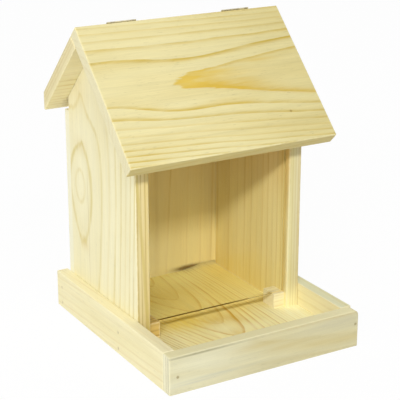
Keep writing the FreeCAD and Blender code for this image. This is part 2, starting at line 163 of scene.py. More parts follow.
# sawn pine: rings about a pith line, in millimetres, x along the grain, y across the face, z into the board
pineBulges = ("Eye", "Swell", "Flare")
pineInputs = [
    ("Vector", "Vector", (0, 0, 0)), ("Pith Depth", "Float", 40.0), ("Lean", "Float", 0.0),
    ("Tilt", "Float", 0.0), ("Ring Area", "Float", 400.0), ("Shift", "Float", 0.0), ("Wave", "Float", 1.0),
    ("Wave Length", "Float", 90.0), ("Line Width", "Float", 2.6), ("Soft", "Float", 0.3),
    ("Drop", "Float", 0.86), ("Beat", "Float", 2.4), ("Beat Start", "Float", 0.0),
    ("Seed", "Float", 0.0), ("Fibre", "Float", 0.05),
    ("Pale", "Color", (0.8, 0.7, 0.4, 1)), ("Warm", "Color", (0.8, 0.6, 0.3, 1)),
    ("Line", "Color", (0.6, 0.4, 0.1, 1)), ("Line Strength", "Float", 0.8),
]
for label in pineBulges:
    pineInputs.append((label, "Vector", (0, 0, 0)))
    pineInputs.append((label + " Size", "Vector", (20, 10, 1)))
    pineInputs.append((label + " Lift", "Float", 0.0))
# noises over a board: waves per millimetre along, across and into it, and a step aside so that no two agree
pineNoise = {
    "ripple": {"stretch": (0.03, 0.25, 0.25)},
    "jitter": {"stretch": (0.11, 0.6, 0.6), "aside": (5, 44, 13)},
    "fade": {"stretch": (0.012, 0.09, 0.09)},
    "gaps": {"stretch": (0.045, 0.3, 0.3), "aside": (23, 8, 61)},
    "drift": {"stretch": (0.008, 0.045, 0.045)},
    "fibre": {"stretch": (0.03, 1.1, 1.1), "detail": 4.0, "roughness": 0.62},
    "band": {"stretch": (0.012, 0.32, 0.32), "aside": (57, 3, 21)},
    "hair": {"stretch": (0.09, 4.2, 4.2)},
    "fleck": {"stretch": (0.16, 2.6, 2.6), "aside": (9, 71, 33), "detail": 1.0},
}
pineFigure = {
    "seedStep": (37, 91, 53), "waveStep": (411, 17, 5),
    "waveAcross": 0.022, "waveDetail": 1.5, "sideWave": 4.0,
    "unsteady": {"ripple": 0.16, "jitter": 0.045},  # in rings
    "thinnest": 0.16, "widest": 0.5, "softFrom": 0.3,  # the dark late wood, as a share of its ring
    "beatShare": 0.3, "fading": (0.3, 0.62, 0.6, 1.0),
    "drifting": (0.35, 0.7), "driftShare": 0.7, "flecked": (0.69, 0.78),
    "shades": {"fibre": 1.0, "band": 1.0, "hair": 0.9, "fleck": -1.6},
    "lifts": {"fibre": 0.8, "late": 0.6, "hair": 0.5, "fleck": -0.5},
}


def boardNoise(tree, place, name):
    kind = pineNoise[name]
    moved = vectorCalc(tree, "ADD", place, kind["aside"]) if "aside" in kind else place
    return noiseAt(tree, moved, kind["stretch"], kind.get("detail", 2.0), kind.get("roughness", 0.5))


# the count of rings at a point, and how fast they follow each other there
def countRings(tree, get, place):
    along, beside, inward = addNode(tree, "SeparateXYZ", {0: get["Vector"]}).outputs
    perWave, waveAcross = calc(tree, "DIVIDE", 1.0, get["Wave Length"]), pineFigure["waveAcross"]
    slow = addNode(tree, "CombineXYZ", {0: perWave, 1: waveAcross, 2: waveAcross}).outputs[0]
    aside = vectorCalc(tree, "ADD", place, pineFigure["waveStep"])
    waveY, waveZ = [swing(tree, noiseAt(tree, at, slow, pineFigure["waveDetail"])) for at in (place, aside)]
    across = calc(tree, "MULTIPLY_ADD", along, get["Lean"], beside)
    sideWave = calc(tree, "MULTIPLY", get["Wave"], pineFigure["sideWave"])
    across = calc(tree, "MULTIPLY_ADD", waveY, sideWave, across)
    deep = calc(tree, "MULTIPLY_ADD", along, get["Tilt"], inward)
    deep = calc(tree, "SUBTRACT", deep, get["Pith Depth"])
    deep = calc(tree, "MULTIPLY_ADD", waveZ, get["Wave"], deep)
    area = calc(tree, "ADD", calc(tree, "MULTIPLY", across, across), calc(tree, "MULTIPLY", deep, deep))
    area = calc(tree, "SUBTRACT", area, calc(tree, "MULTIPLY", get["Pith Depth"], get["Pith Depth"]))
    ring = calc(tree, "ADD", calc(tree, "DIVIDE", area, get["Ring Area"]), get["Shift"])
    perArea = calc(tree, "DIVIDE", 2.0, get["Ring Area"])
    alongRate = calc(tree, "MULTIPLY_ADD", across, get["Lean"], calc(tree, "MULTIPLY", deep, get["Tilt"]))
    alongRate = calc(tree, "MULTIPLY", alongRate, perArea)
    acrossRate = calc(tree, "MULTIPLY", across, perArea)
    rate = addNode(tree, "CombineXYZ", {0: alongRate, 1: acrossRate, 2: 0.0}).outputs[0]
    for label in pineBulges:
        size = get[label + " Size"]
        away = vectorCalc(tree, "DIVIDE", vectorCalc(tree, "SUBTRACT", get["Vector"], get[label]), size)
        onFace = vectorCalc(tree, "MULTIPLY", away, (1, 1, 0))
        lift = calc(tree, "MULTIPLY", hump(tree, onFace), get[label + " Lift"])
        ring = calc(tree, "ADD", ring, lift)
        change = scaled(tree, vectorCalc(tree, "DIVIDE", onFace, size), calc(tree, "MULTIPLY", lift, -2.0))
        rate = vectorCalc(tree, "ADD", rate, change)
    for name, share in pineFigure["unsteady"].items():
        ring = calc(tree, "MULTIPLY_ADD", swing(tree, boardNoise(tree, place, name)), share, ring)
    return ring, rate


# the dark late wood that ends each ring: its line keeps its width in millimetres where the rings spread
def lateWood(tree, get, place, ring, rate):
    count = calc(tree, "FLOOR", ring)
    part = calc(tree, "SUBTRACT", ring, count)
    share = calc(tree, "MULTIPLY", vectorCalc(tree, "LENGTH", rate), get["Line Width"])
    share = calc(tree, "MAXIMUM", share, pineFigure["thinnest"])
    share = calc(tree, "MINIMUM", share, pineFigure["widest"])
    climb = calc(tree, "SUBTRACT", 1.0, calc(tree, "DIVIDE", calc(tree, "SUBTRACT", 1.0, part), share))
    soft = calc(tree, "MULTIPLY", smoothStep(tree, part, pineFigure["softFrom"], 1.0), get["Soft"])
    late = calc(tree, "MAXIMUM", smoothStep(tree, climb, 0.0, get["Drop"]), soft)
    late = calc(tree, "MULTIPLY", late, smoothStep(tree, climb, 1.0, get["Drop"]))
    # good and poor summers: some rings show more than others
    beat = calc(tree, "SINE", calc(tree, "MULTIPLY_ADD", count, get["Beat"], get["Beat Start"]))
    beatShare = pineFigure["beatShare"]
    late = calc(tree, "MULTIPLY", late, calc(tree, "MULTIPLY_ADD", beat, beatShare, 1.0 - beatShare))
    for name in ("fade", "gaps"):
        fading = smoothStep(tree, boardNoise(tree, place, name), *pineFigure["fading"])
        late = calc(tree, "MULTIPLY", late, fading)
    return late


def makePineGrain():
    outputs = [("Color", "Color"), ("Late", "Float"), ("Height", "Float")]
    tree, get, put = newGroup("pineGrain", pineInputs, outputs)
    step = vectorCalc(tree, "MULTIPLY", pineFigure["seedStep"], evenVector(tree, get["Seed"]))
    place = vectorCalc(tree, "ADD", get["Vector"], step)
    ring, rate = countRings(tree, get, place)
    late = lateWood(tree, get, place, ring, rate)
    details = {name: swing(tree, boardNoise(tree, place, name)) for name in ("fibre", "band", "hair")}
    details["fleck"] = smoothStep(tree, boardNoise(tree, place, "fleck"), *pineFigure["flecked"])
    details["late"] = late
    drift = smoothStep(tree, boardNoise(tree, place, "drift"), *pineFigure["drifting"])
    warmth = calc(tree, "MULTIPLY", drift, pineFigure["driftShare"])
    color = blendColor(tree, warmth, get["Pale"], get["Warm"])
    color = blendColor(tree, calc(tree, "MULTIPLY", late, get["Line Strength"]), color, get["Line"])
    shade = 1.0
    for name, share in pineFigure["shades"].items():
        shade = calc(tree, "MULTIPLY_ADD", details[name], calc(tree, "MULTIPLY", get["Fibre"], share), shade)
    height = 0.0
    for name, lift in pineFigure["lifts"].items():
        height = calc(tree, "MULTIPLY_ADD", details[name], lift, height)
    feed(tree, put["Color"], scaled(tree, color, shade))
    feed(tree, put["Late"], late)
    feed(tree, put["Height"], height)
    return tree


# how close a point is to an edge of its board: the middle one of its three distances to the faces
edgeWear = {"noise": ((0.35, 0.35, 0.35), 3.0), "uneven": 2.4, "reach": 1.3, "strength": 0.35}


def makeEdgeRub():
    inputs = [(label, "Vector", (0, 0, 0)) for label in ("Vector", "Middle", "Half")]
    inputs.append(("Reach", "Float", edgeWear["reach"]))
    tree, get, put = newGroup("edgeRub", inputs, [("Mask", "Float")])
    away = vectorCalc(tree, "ABSOLUTE", vectorCalc(tree, "SUBTRACT", get["Vector"], get["Middle"]))
    depths = vectorCalc(tree, "SUBTRACT", get["Half"], away)
    deepX, deepY, deepZ = addNode(tree, "SeparateXYZ", {0: depths}).outputs
    low, high = calc(tree, "MINIMUM", deepX, deepY), calc(tree, "MAXIMUM", deepX, deepY)
    middle = calc(tree, "MAXIMUM", low, calc(tree, "MINIMUM", high, deepZ))
    middle = calc(tree, "SUBTRACT", middle, edgeWear["uneven"] / 2)
    ragged = noiseAt(tree, get["Vector"], *edgeWear["noise"])
    near = calc(tree, "MULTIPLY_ADD", ragged, edgeWear["uneven"], middle)
    feed(tree, put["Mask"], smoothStep(tree, calc(tree, "DIVIDE", near, get["Reach"]), 1.0, 0.0))
    return tree


# a round mark about a point, for the bruise round a nail head or a pin knot
markEdge = {"noise": ((0.9, 0.9, 0.9), 2.0), "uneven": 1.0, "core": 0.35}


def makeRoundMark():
    inputs = [("Vector", "Vector", (0, 0, 0)), ("Centre", "Vector", (0, 0, 0)), ("Reach", "Float", 2.0)]
    tree, get, put = newGroup("roundMark", inputs, [("Mask", "Float")])
    away = vectorCalc(tree, "DISTANCE", get["Vector"], get["Centre"])
    away = calc(tree, "SUBTRACT", away, markEdge["uneven"] / 2)
    ragged = noiseAt(tree, get["Vector"], *markEdge["noise"])
    away = calc(tree, "MULTIPLY_ADD", ragged, markEdge["uneven"], away)
    feed(tree, put["Mask"], smoothStep(tree, calc(tree, "DIVIDE", away, get["Reach"]), 1.0, markEdge["core"]))
    return tree


# a soft mark about a point, for stains and for painted light and shade, broken up along the grain by how
# ragged it is
stainAndLightBreaks = {"noise": ((0.04, 0.5, 0.5), 3.0), "bare": (0.7, 0.25)}


def makeSoftStainAndLight():
    inputs = [
        ("Vector", "Vector", (0, 0, 0)), ("Centre", "Vector", (0, 0, 0)), ("Size", "Vector", (20, 4, 8)),
        ("Ragged", "Float", 0.5),
    ]
    tree, get, put = newGroup("softStainAndLight", inputs, [("Mask", "Float")])
    away = vectorCalc(tree, "DIVIDE", vectorCalc(tree, "SUBTRACT", get["Vector"], get["Centre"]), get["Size"])
    bare = smoothStep(tree, noiseAt(tree, get["Vector"], *stainAndLightBreaks["noise"]), *stainAndLightBreaks["bare"])
    kept = calc(tree, "SUBTRACT", 1.0, calc(tree, "MULTIPLY", bare, get["Ragged"]))
    feed(tree, put["Mask"], calc(tree, "MULTIPLY", hump(tree, away), kept))
    return tree


pineGrain = makePineGrain()
edgeRub = makeEdgeRub()
roundMark = makeRoundMark()
softStainAndLight = makeSoftStainAndLight()
print("wood groups ready")

boardFinish = {
    "square": (0.75, 0.95),  # how straight a face looks along an axis to count as a side or an end
    "endShare": 0.72, "poreNoise": ((0.5, 2.2, 2.2), 3.0, 0.7), "poreShade": (0.25, 0.75, 0.9, 1.06),
    "poreDepth": 0.9, "streakRagged": 0.55, "patchRagged": 0.1,
    "rough": 0.66, "lateRough": -0.12, "endRough": 0.12, "rubRough": -0.06,
    "bump": 0.45, "bumpDepth": 0.00025, "gloss": 0.25,
}


def boardTurn(along, into):
    x, z = Vector(along).normalized(), Vector(into).normalized()
    return Matrix((x, z.cross(x), z))


def facesAlong(tree, coords, axis):
    facing = calc(tree, "ABSOLUTE", vectorCalc(tree, "DOT_PRODUCT", coords.outputs["Normal"], axis))
    return smoothStep(tree, facing, *boardFinish["square"])


# a board's settings have the names of the group's inputs, such as pithDepth for Pith Depth
def growRings(tree, inGrain, wood):
    values = {"Vector": inGrain}
    for label, kind, _ in pineInputs:
        key = label[0].lower() + label[1:].replace(" ", "")
        if key in wood:
            values[label] = tone(*wood[key]) if kind == "Color" else wood[key]
    return fillGroup(tree, pineGrain, values)


def addStainAndLight(tree, inGrain, color, late, spot, ragged):
    centre, size, strength, markTone, *limits = spot
    values = {"Vector": inGrain, "Centre": centre, "Size": size, "Ragged": ragged}
    mask = calc(tree, "MULTIPLY", fillGroup(tree, softStainAndLight, values)["Mask"], strength)
    if limits:
        mask = calc(tree, "MULTIPLY", mask, late)
    return blendColor(tree, mask, color, tone(*markTone))


# narrow sides have a tint of their own, and their lines are calmer or clearer than those of the face
def tintSides(tree, color, late, sawnSide, wood):
    if "sideCalm" in wood:
        calm = calc(tree, "MULTIPLY", sawnSide, wood["sideCalm"])
        color = blendColor(tree, calm, color, tone(*wood["warm"]))
    if "sideTint" in wood:
        color = blendColor(tree, sawnSide, color, tone(*wood["sideTint"]), "MULTIPLY")
        lines = calc(tree, "MULTIPLY", calc(tree, "MULTIPLY", late, sawnSide), wood["sideLine"])
        color = blendColor(tree, lines, color, tone(*wood["line"]))
    return color


# sawn ends have their own tone and are pored
def tintEnds(tree, color, pores, sawnEnd, wood):
    endColor = blendColor(tree, boardFinish["endShare"], color, tone(*wood["endTone"]))
    endColor = scaled(tree, endColor, smoothStep(tree, pores, *boardFinish["poreShade"]))
    return blendColor(tree, sawnEnd, color, endColor)


def dressBoard(name, wood):
    turn = boardTurn(wood["along"], wood["into"])
    start = -(turn @ Vector(wood["start"]))
    points = [turn @ (v.co * mmPerMetre) + start for v in nodes[name].data.vertices]
    low = Vector(min(p[i] for p in points) for i in range(3))
    high = Vector(max(p[i] for p in points) for i in range(3))
    material, tree, shader = newMaterial("pine_" + name)
    coords = addNode(tree, "TexCoord")
    inGrain = inMillimetres(tree, coords, turn.to_euler(), start)
    inPart = inMillimetres(tree, coords)
    grain = growRings(tree, inGrain, wood)
    color, late, height = grain["Color"], grain["Late"], grain["Height"]
    for streak in wood.get("streaks", []):
        color = addStainAndLight(tree, inGrain, color, late, streak, boardFinish["streakRagged"])
    for way, begin, end, tint in wood.get("runs", []):
        reach = smoothStep(tree, vectorCalc(tree, "DOT_PRODUCT", inGrain, way), begin, end)
        color = blendColor(tree, reach, color, tone(*tint), "MULTIPLY")
    color = tintSides(tree, color, late, facesAlong(tree, coords, turn[1]), wood)
    sawnEnd = facesAlong(tree, coords, turn[0])
    pores = noiseAt(tree, inGrain, *boardFinish["poreNoise"])
    color = tintEnds(tree, color, pores, sawnEnd, wood)
    for patch in wood.get("patches", []):
        color = addStainAndLight(tree, inGrain, color, late, patch, boardFinish["patchRagged"])
    box = {"Middle": (low + high) / 2, "Half": (high - low) / 2}
    rub = fillGroup(tree, edgeRub, {"Vector": inGrain, "Reach": edgeWear["reach"]} | box)["Mask"]
    color = blendColor(tree, calc(tree, "MULTIPLY", rub, edgeWear["strength"]), color, tone(*wood["rubbed"]))
    for centre, reach, strength, markTone in wood.get("marks", []):
        mark = fillGroup(tree, roundMark, {"Vector": inPart, "Centre": centre, "Reach": reach})["Mask"]
        color = blendColor(tree, calc(tree, "MULTIPLY", mark, strength), color, tone(*markTone))
        height = calc(tree, "SUBTRACT", height, mark)
    poreDepth = calc(tree, "MULTIPLY", sawnEnd, boardFinish["poreDepth"])
    height = calc(tree, "MULTIPLY_ADD", pores, poreDepth, height)
    rough = calc(tree, "MULTIPLY_ADD", late, boardFinish["lateRough"], boardFinish["rough"])
    rough = calc(tree, "MULTIPLY_ADD", sawnEnd, boardFinish["endRough"], rough)
    rough = calc(tree, "MULTIPLY_ADD", rub, boardFinish["rubRough"], rough)
    fillShader(tree, shader, color, rough, height, boardFinish["bump"], boardFinish["bumpDepth"])
    shader.inputs["Specular IOR Level"].default_value = boardFinish["gloss"]
    dress(name, material)


# places on a board are in millimetres from its start point: along the grain, across the face, into the board
# streaks are ragged stains in the wood, and on the back panel painted light: centre, size, strength, colour,
# and onRings if only the rings take it
# runs are slow changes of tone, on some boards painted shade and a painted tint of the shaded inside:
# direction, where they begin and end, tint
# patches are smooth marks on all faces, such as cracks and edge lines, painted light along arrises and
# painted shade over the drain gap: as streaks
# marks are round bruises and pin knots, placed in the part's own millimetres: centre, reach, strength, colour
ridgeY, ridgeZ = 30.5, 220.5  # the line where the two slopes of the roof meet
frontSide, rearSide = -1, 1
wholeLength = 400  # more than any board has
onRings = "rings"
nailBruise = (186, 162, 108)
rimNails = [(y, z) for y in (-13.7, 78.25) for z in (4, 16)]


def downRoof(side, x, down):
    return (x, ridgeY + side * down * slope, ridgeZ - down * slope)


def nailMarks(places, reach=1.9, strength=0.35):
    return [(place, reach, strength, nailBruise) for place in places]


# front roof board: a flame of rings opening to the right, straight lines above and below it
flameEdge = [(along, 6.9 + 0.2 * along, 0) for along in range(0, 81, 10)]
frontRoofWood = {
    "along": (1, 0, 0), "into": (0, slope, -slope), "start": downRoof(frontSide, 0, 51),
    "pithDepth": 40.0, "ringArea": 440.0, "tilt": 0.024, "lean": -0.05, "shift": 0.91,
    "wave": 0.55, "waveLength": 70.0,
    "eye": (-28, 19, 0), "eyeSize": (26, 11, 1), "eyeLift": -0.5,
    "swell": (-2, -20, 0), "swellSize": (42, 8, 1), "swellLift": 0.48,
    "flare": (100, 0, 0), "flareSize": (60, 70, 1), "flareLift": -0.6,
    "seed": 1.0, "beat": 0.9, "beatStart": 1.1, "lineWidth": 4.6, "soft": 0.4,
    "lineStrength": 1.0, "fibre": 0.17,
    "pale": (233, 222, 168), "warm": (226, 211, 150), "line": (205, 176, 70),
    "endTone": (240, 233, 198), "rubbed": (242, 234, 188),
    "sideTint": (250, 248, 242), "sideLine": 0.1, "sideCalm": 0.7,
    "runs": [((1, 0, 0), -40, 90, (240, 238, 228))],
    "streaks": [
        ((-4, 2, 0), (20, 8, 12), 3.5, (222, 190, 84), onRings),
        ((14, 9, 0), (38, 10, 12), 2.6, (221, 186, 76), onRings),
        ((-48, -36, 0), (42, 14, 12), 0.45, (233, 221, 166)),
    ],
    "patches": [(place, (9, 1.2, 8), 0.5, (208, 174, 68)) for place in flameEdge] + [
        ((6, -3.2, 0), (14, 1.6, 8), 0.7, (220, 190, 84)), ((44, -8.6, 0), (13, 1.2, 8), 0.5, (214, 182, 80)),
        ((-14, 1.8, 0), (8, 3.2, 8), 0.5, (226, 198, 98)),
    ],
    "marks": [(downRoof(frontSide, 52.6, 86.3), 1.3, 0.6, (150, 118, 52))],
}
dressBoard("front_roof", frontRoofWood)

# hinged rear roof board, with lines in its left end
rearLidWood = {
    "along": (1, 0, 0), "into": (0, -slope, -slope), "start": downRoof(rearSide, 20, 22),
    "pithDepth": 34.0, "ringArea": 420.0, "tilt": -0.05, "lean": 0.03, "shift": 0.35,
    "wave": 0.8, "waveLength": 80.0,
    "seed": 2.0, "beat": 1.3, "beatStart": 0.6, "lineStrength": 0.75, "fibre": 0.12,
    "pale": (245, 235, 192), "warm": (238, 226, 172), "line": (218, 192, 112),
    "endTone": (229, 215, 168), "rubbed": (244, 234, 188), "sideTint": (250, 248, 242), "sideLine": 0.2,
    "patches": [
        ((-100, 0, 0.6), (5, wholeLength, 0.9), 0.7, (204, 192, 148)),
        ((-100, 0, 3.6), (5, wholeLength, 0.6), 0.5, (212, 190, 126)),
        ((-100, 0, 6.3), (5, wholeLength, 0.6), 0.4, (214, 194, 130)),
        ((-100, 0, 9.4), (5, wholeLength, 2.0), 0.5, (243, 231, 182)),
    ],
}
dressBoard("rear_lid", rearLidWood)

# left wall: upright grain, an eye near the rear edge and arches over it, lines down its front edge
leftWallWood = {
    "along": (0, 0, 1), "into": (1, 0, 0), "start": (-66, 57, 98),
    "pithDepth": 60.0, "ringArea": 900.0, "tilt": 0.07, "shift": 0.56, "wave": 0.3, "waveLength": 90.0,
    "eye": (1.7, -3.2, 0), "eyeSize": (18.5, 12.5, 1), "eyeLift": -1.46,
    "swell": (95, 2, 0), "swellSize": (55, 45, 1), "swellLift": 3.0,
    "flare": (75, 2.5, 0), "flareSize": (40, 8.5, 1), "flareLift": -0.45,
    "seed": 3.0, "beat": 1.9, "beatStart": 1.2, "lineWidth": 6.0, "soft": 0.2, "drop": 0.55,
    "lineStrength": 0.85, "fibre": 0.12,
    "pale": (246, 239, 200), "warm": (242, 233, 188), "line": (222, 205, 132),
    "endTone": (240, 233, 206), "rubbed": (247, 240, 204), "sideTint": (244, 235, 212), "sideLine": 0.75,
    # runs: a painted tint of the shaded inside on the inner face, and painted shade under the roof, greyer
    # towards the top
    "runs": [((0, 0, 1), 2, 9, (255, 250, 232)), ((1, 0, 0), 10, 70, (250, 249, 246))],
    "streaks": [
        ((70, 2, 0), (10, 13, 8), 0.35, (226, 206, 146)), ((32, 0, 0), (6, 10, 8), 0.35, (224, 203, 142)),
        ((-42, 3, 0), (5, 7, 8), 0.4, (226, 202, 140)), ((-27, 9.6, 0), (42, 0.45, 6), 0.6, (186, 164, 100)),
        ((0, 82.7, 1.1), (wholeLength, 2.5, 0.7), 0.75, (190, 168, 92)),
        ((0, 82.7, 3.9), (wholeLength, 2.5, 0.4), 0.65, (196, 172, 98)),
        ((0, 82.7, 7.1), (wholeLength, 2.5, 0.5), 0.65, (198, 176, 102)),
    ],
}
dressBoard("left_wall", leftWallWood)

# right wall: straight upright lines, a painted tint of the shaded inside on its inner face, darker and warmer
# towards the top, painted light along its front, lines down its front edge
frontLines = ((3.2, 0.35), (5.5, 0.4), (7.7, 0.45), (9.5, 0.55))  # depth, strength
rightWallWood = {
    "along": (0, 0, 1), "into": (1, 0, 0), "start": (56, 104, 60),
    "pithDepth": 60.0, "ringArea": 1350.0, "tilt": 0.01, "shift": 0.2, "wave": 0.4, "waveLength": 100.0,
    "seed": 4.0, "beat": 2.1, "beatStart": 0.4, "lineStrength": 0.55, "fibre": 0.11,
    "pale": (252, 238, 188), "warm": (246, 228, 168), "line": (216, 184, 100),
    "endTone": (240, 233, 206), "rubbed": (246, 240, 204), "sideTint": (230, 234, 240), "sideLine": 0.5,
    # runs: a painted tint of the shaded inside on the inner face, darker and warmer towards the top
    "runs": [((0, 0, -1), -8, -1, (253, 251, 228)), ((1, 0, -20), 10, 90, (255, 236, 216))],
    "streaks": [
        ((0, 127, 0), (wholeLength, 3.2, 1.2), 0.65, (198, 166, 74)),
        ((-46, 62, 0), (17, 48, 3), 0.4, (242, 210, 112)),
    ],
    # the first two patches are painted light along the front of the inner face and low on the front edge
    "patches": [
        ((-15, 128.8, 0), (60, 2.0, 2.2), 0.75, (255, 248, 200)),
        ((-47, 129.7, 5), (13, 6, 30), 0.7, (255, 247, 198)),
    ] + [((0, 129.7, deep), (wholeLength, 2.5, 0.4), much, (204, 178, 108)) for deep, much in frontLines],
}
dressBoard("right_wall", rightWallWood)

# back panel: upright grain, broad faint lines, a painted tint of the shaded inside on its inner face, darker
# and warmer towards the top, painted light low on it, painted shade at its foot over the drain gap
paleEnds = ((-51, 1.0), (81, 0.4))  # across, strength
backPanelWood = {
    "along": (0, 0, 1), "into": (0, 1, 0), "start": (-15, 75, 60),
    "pithDepth": 70.0, "ringArea": 1250.0, "tilt": 0.02, "shift": 0.25, "wave": 0.5, "waveLength": 100.0,
    "seed": 5.0, "beat": 1.7, "beatStart": 2.0, "lineStrength": 0.5, "fibre": 0.12,
    "pale": (251, 238, 186), "warm": (245, 227, 166), "line": (216, 184, 98),
    "endTone": (238, 230, 200), "rubbed": (242, 233, 190),
    # runs: a painted tint of the shaded inside on the inner face, darker and warmer towards the top
    "runs": [((0, 0, -1), -6, -1, (254, 251, 232)), ((1, 0, -20), 0, 80, (255, 242, 220))],
    "streaks": [
        # the first and the last streak are painted light low on the inner face
        ((-36, 0, 0), (26, 34, 3), 0.6, (252, 246, 212)), ((20, 18, 0), (90, 3, 3), 0.3, (206, 174, 92)),
        ((-45, -22, 0), (10, 20, 3), 0.9, (255, 253, 228)),
    ],
    # the first patch is painted shade over the drain gap
    "patches": [((-48.2, 46, 0), (2.0, 12, 3), 1.5, (136, 112, 60))]
    + [((0, across, 0), (wholeLength, 0.9, 30), strength, (246, 243, 216)) for across, strength in paleEnds],
    "marks": nailMarks([(x, 81.5, z) for x in (-61, 61) for z in (30, 80.7, 131.4)]),
}
dressBoard("back_panel", backPanelWood)

# tray floor: grain from front to back, a flame with its tip on the porch
floorNails = ((-61, -7.7), (-61, 57), (61, -7.7), (61, 57), (-51.5, -15.5), (51.5, -15.5))
floorWood = {
    "along": (0, 1, 0), "into": (0, 0, -1), "start": (2.6, -49.3, 10),
    "pithDepth": 45.0, "ringArea": 230.0, "tilt": 0.11, "lean": 0.12, "shift": 0.99,
    "wave": 0.5, "waveLength": 80.0,
    "seed": 6.0, "beat": 2.6, "beatStart": 1.57, "lineWidth": 4.0, "soft": 0.32,
    "lineStrength": 1.0, "fibre": 0.2,
    "pale": (254, 246, 192), "warm": (250, 236, 160), "line": (211, 169, 58),
    "endTone": (238, 230, 200), "rubbed": (244, 236, 192),
    # the run is a painted tint of the shaded inside, warmer behind the pane
    "runs": [((1, 0, 0), 24, 50, (255, 249, 218))],
    "streaks": [
        ((82, -16, 0), (44, 60, 12), 0.75, (244, 226, 148)),
        ((20, 13, 0), (26, 9, 12), 2.2, (218, 168, 50), onRings),
        ((6, 0, 0), (6, 4, 12), 0.5, (222, 188, 84)), ((30, -4, 0), (8, 14, 12), 0.55, (214, 178, 72)),
        ((26, 11, 0), (8, 5, 12), 0.6, (214, 174, 62)), ((30, 57, 0), (46, 17, 12), 1.1, (255, 254, 216)),
        ((10, -26, 0), (14, 10, 12), 0.4, (254, 244, 190)), ((17, -6, 0), (9, 14, 12), 0.35, (255, 248, 200)),
        ((38, -28, 0), (13, 28, 12), 0.8, (250, 226, 112)),
        ((38, 50, 0), (12, 13, 12), 0.75, (232, 212, 130)),
        ((8, 18, 0), (8, 20, 12), 0.6, (255, 251, 206)), ((64, -36, 0), (14, 14, 12), 0.7, (255, 250, 190)),
        ((114, 13, 0), (15, 20, 12), 0.8, (255, 254, 206)),
    ],
    "marks": nailMarks([(x, y, 0) for x, y in floorNails]),
}
dressBoard("floor_board", floorWood)

# left rim: faint straight lines
leftRimWood = {
    "along": (0, 1, 0), "into": (1, 0, 0), "start": (-75, 0, 62),
    "pithDepth": 50.0, "ringArea": 620.0, "tilt": 0.03, "lean": 0.03, "shift": 0.1,
    "wave": 0.5, "waveLength": 90.0,
    "seed": 7.0, "beat": 1.6, "beatStart": 0.8, "lineStrength": 0.5, "fibre": 0.13,
    "pale": (246, 237, 195), "warm": (241, 230, 180), "line": (224, 206, 148),
    "endTone": (244, 238, 212), "rubbed": (249, 242, 206),
    "marks": nailMarks([(-75, y, z) for y, z in rimNails], strength=0.22),
}
dressBoard("left_rim", leftRimWood)

# right rim: paler, with a cooler top
rightRimWood = {
    "along": (0, 1, 0), "into": (-1, 0, 0), "start": (75, 10, -30),
    "pithDepth": 44.0, "ringArea": 560.0, "tilt": -0.03, "lean": 0.02, "shift": 0.4,
    "wave": 0.5, "waveLength": 90.0,
    "seed": 8.0, "beat": 1.4, "beatStart": 0.2, "lineStrength": 0.6, "fibre": 0.11,
    "pale": (250, 243, 203), "warm": (246, 235, 186), "line": (228, 208, 140),
    "endTone": (242, 235, 208), "rubbed": (230, 224, 186), "sideTint": (230, 237, 240), "sideLine": 0.1,
    "marks": nailMarks([(75, y, z) for y, z in rimNails]),
}
dressBoard("right_rim", rightRimWood)

# front rim: greyer, a slanting warm band in its right half, dark cracks in its left end
endCracks = ((2.2, 0.4, 0.8), (4.8, 0.4, 0.6), (8.8, 0.5, 1.2))  # depth, width, strength
crackTone = (150, 142, 104)
warmBand = ((8, 5.4), (30, 11), (54, 15), (78, 17.4))
frontRimWood = {
    "along": (1, 0, 0), "into": (0, 1, 0), "start": (-14, -86.5, 25),
    "pithDepth": 30.0, "ringArea": 420.0, "tilt": 0.06, "shift": 0.97, "wave": 0.4, "waveLength": 80.0,
    "seed": 9.0, "beat": 1.1, "beatStart": 1.6, "lineWidth": 9.0, "soft": 0.3, "drop": 0.5,
    "lineStrength": 0.3, "fibre": 0.17,
    "pale": (233, 229, 196), "warm": (228, 221, 180), "line": (210, 194, 136),
    "endTone": (252, 247, 214), "rubbed": (226, 219, 178), "sideTint": (252, 248, 230), "sideLine": 0.1,
    "runs": [((1, 0, 0), -50, 25, (239, 235, 222)), ((0, 1, 0), 17, 25, (247, 246, 245))],
    "streaks": [
        ((-22, 17.6, 0), (36, 1.2, 6), 0.6, (198, 200, 184)),
        ((-44, 19.6, 0), (24, 0.8, 6), 0.5, (202, 202, 186)),
        ((72, 3.5, 0), (26, 5, 6), 0.5, (206, 204, 188)), ((60, -1, 0), (40, 1.2, 6), 0.4, (214, 190, 120)),
    ],
    "patches": [((-61, 13, deep), (1.2, 40, wide), much, crackTone) for deep, wide, much in endCracks]
    + [((0, -2, 4.5), (wholeLength, 0.5, 20), 0.9, (236, 229, 185))]
    + [((-38, -0.6, 0.5), (27, 0.8, 0.7), 1.2, (142, 135, 96))]
    + [((along, across, 0), (19, 3.0, 5), 0.45, (204, 184, 118)) for along, across in warmBand],
    "marks": nailMarks([(-69, -86.5, 12), (72.6, -86.5, 17)], reach=1.7, strength=0.3),
}
dressBoard("front_rim", frontRimWood)

# stop blocks under the pane, the left one darker
blockWood = {
    "along": (1, 0, 0), "into": (0, 1, 0),
    "pithDepth": 40.0, "ringArea": 300.0, "shift": 0.3, "wave": 0.4, "waveLength": 60.0, "beat": 1.5,
    "lineStrength": 0.7, "fibre": 0.14, "rubbed": (249, 240, 204),
}
leftBlockWood = blockWood | {
    "start": (-51, -22.5, 52), "seed": 10.0,
    "pale": (232, 204, 128), "warm": (222, 188, 104), "line": (168, 126, 46), "endTone": (244, 230, 182),
}
rightBlockWood = blockWood | {
    "start": (51, -22.5, 52), "seed": 11.0,
    "pale": (251, 242, 202), "warm": (247, 234, 182), "line": (230, 206, 134), "endTone": (246, 236, 196),
}
dressBoard("left_stop_block", leftBlockWood)
dressBoard("right_stop_block", rightBlockWood)
print("boards dressed")

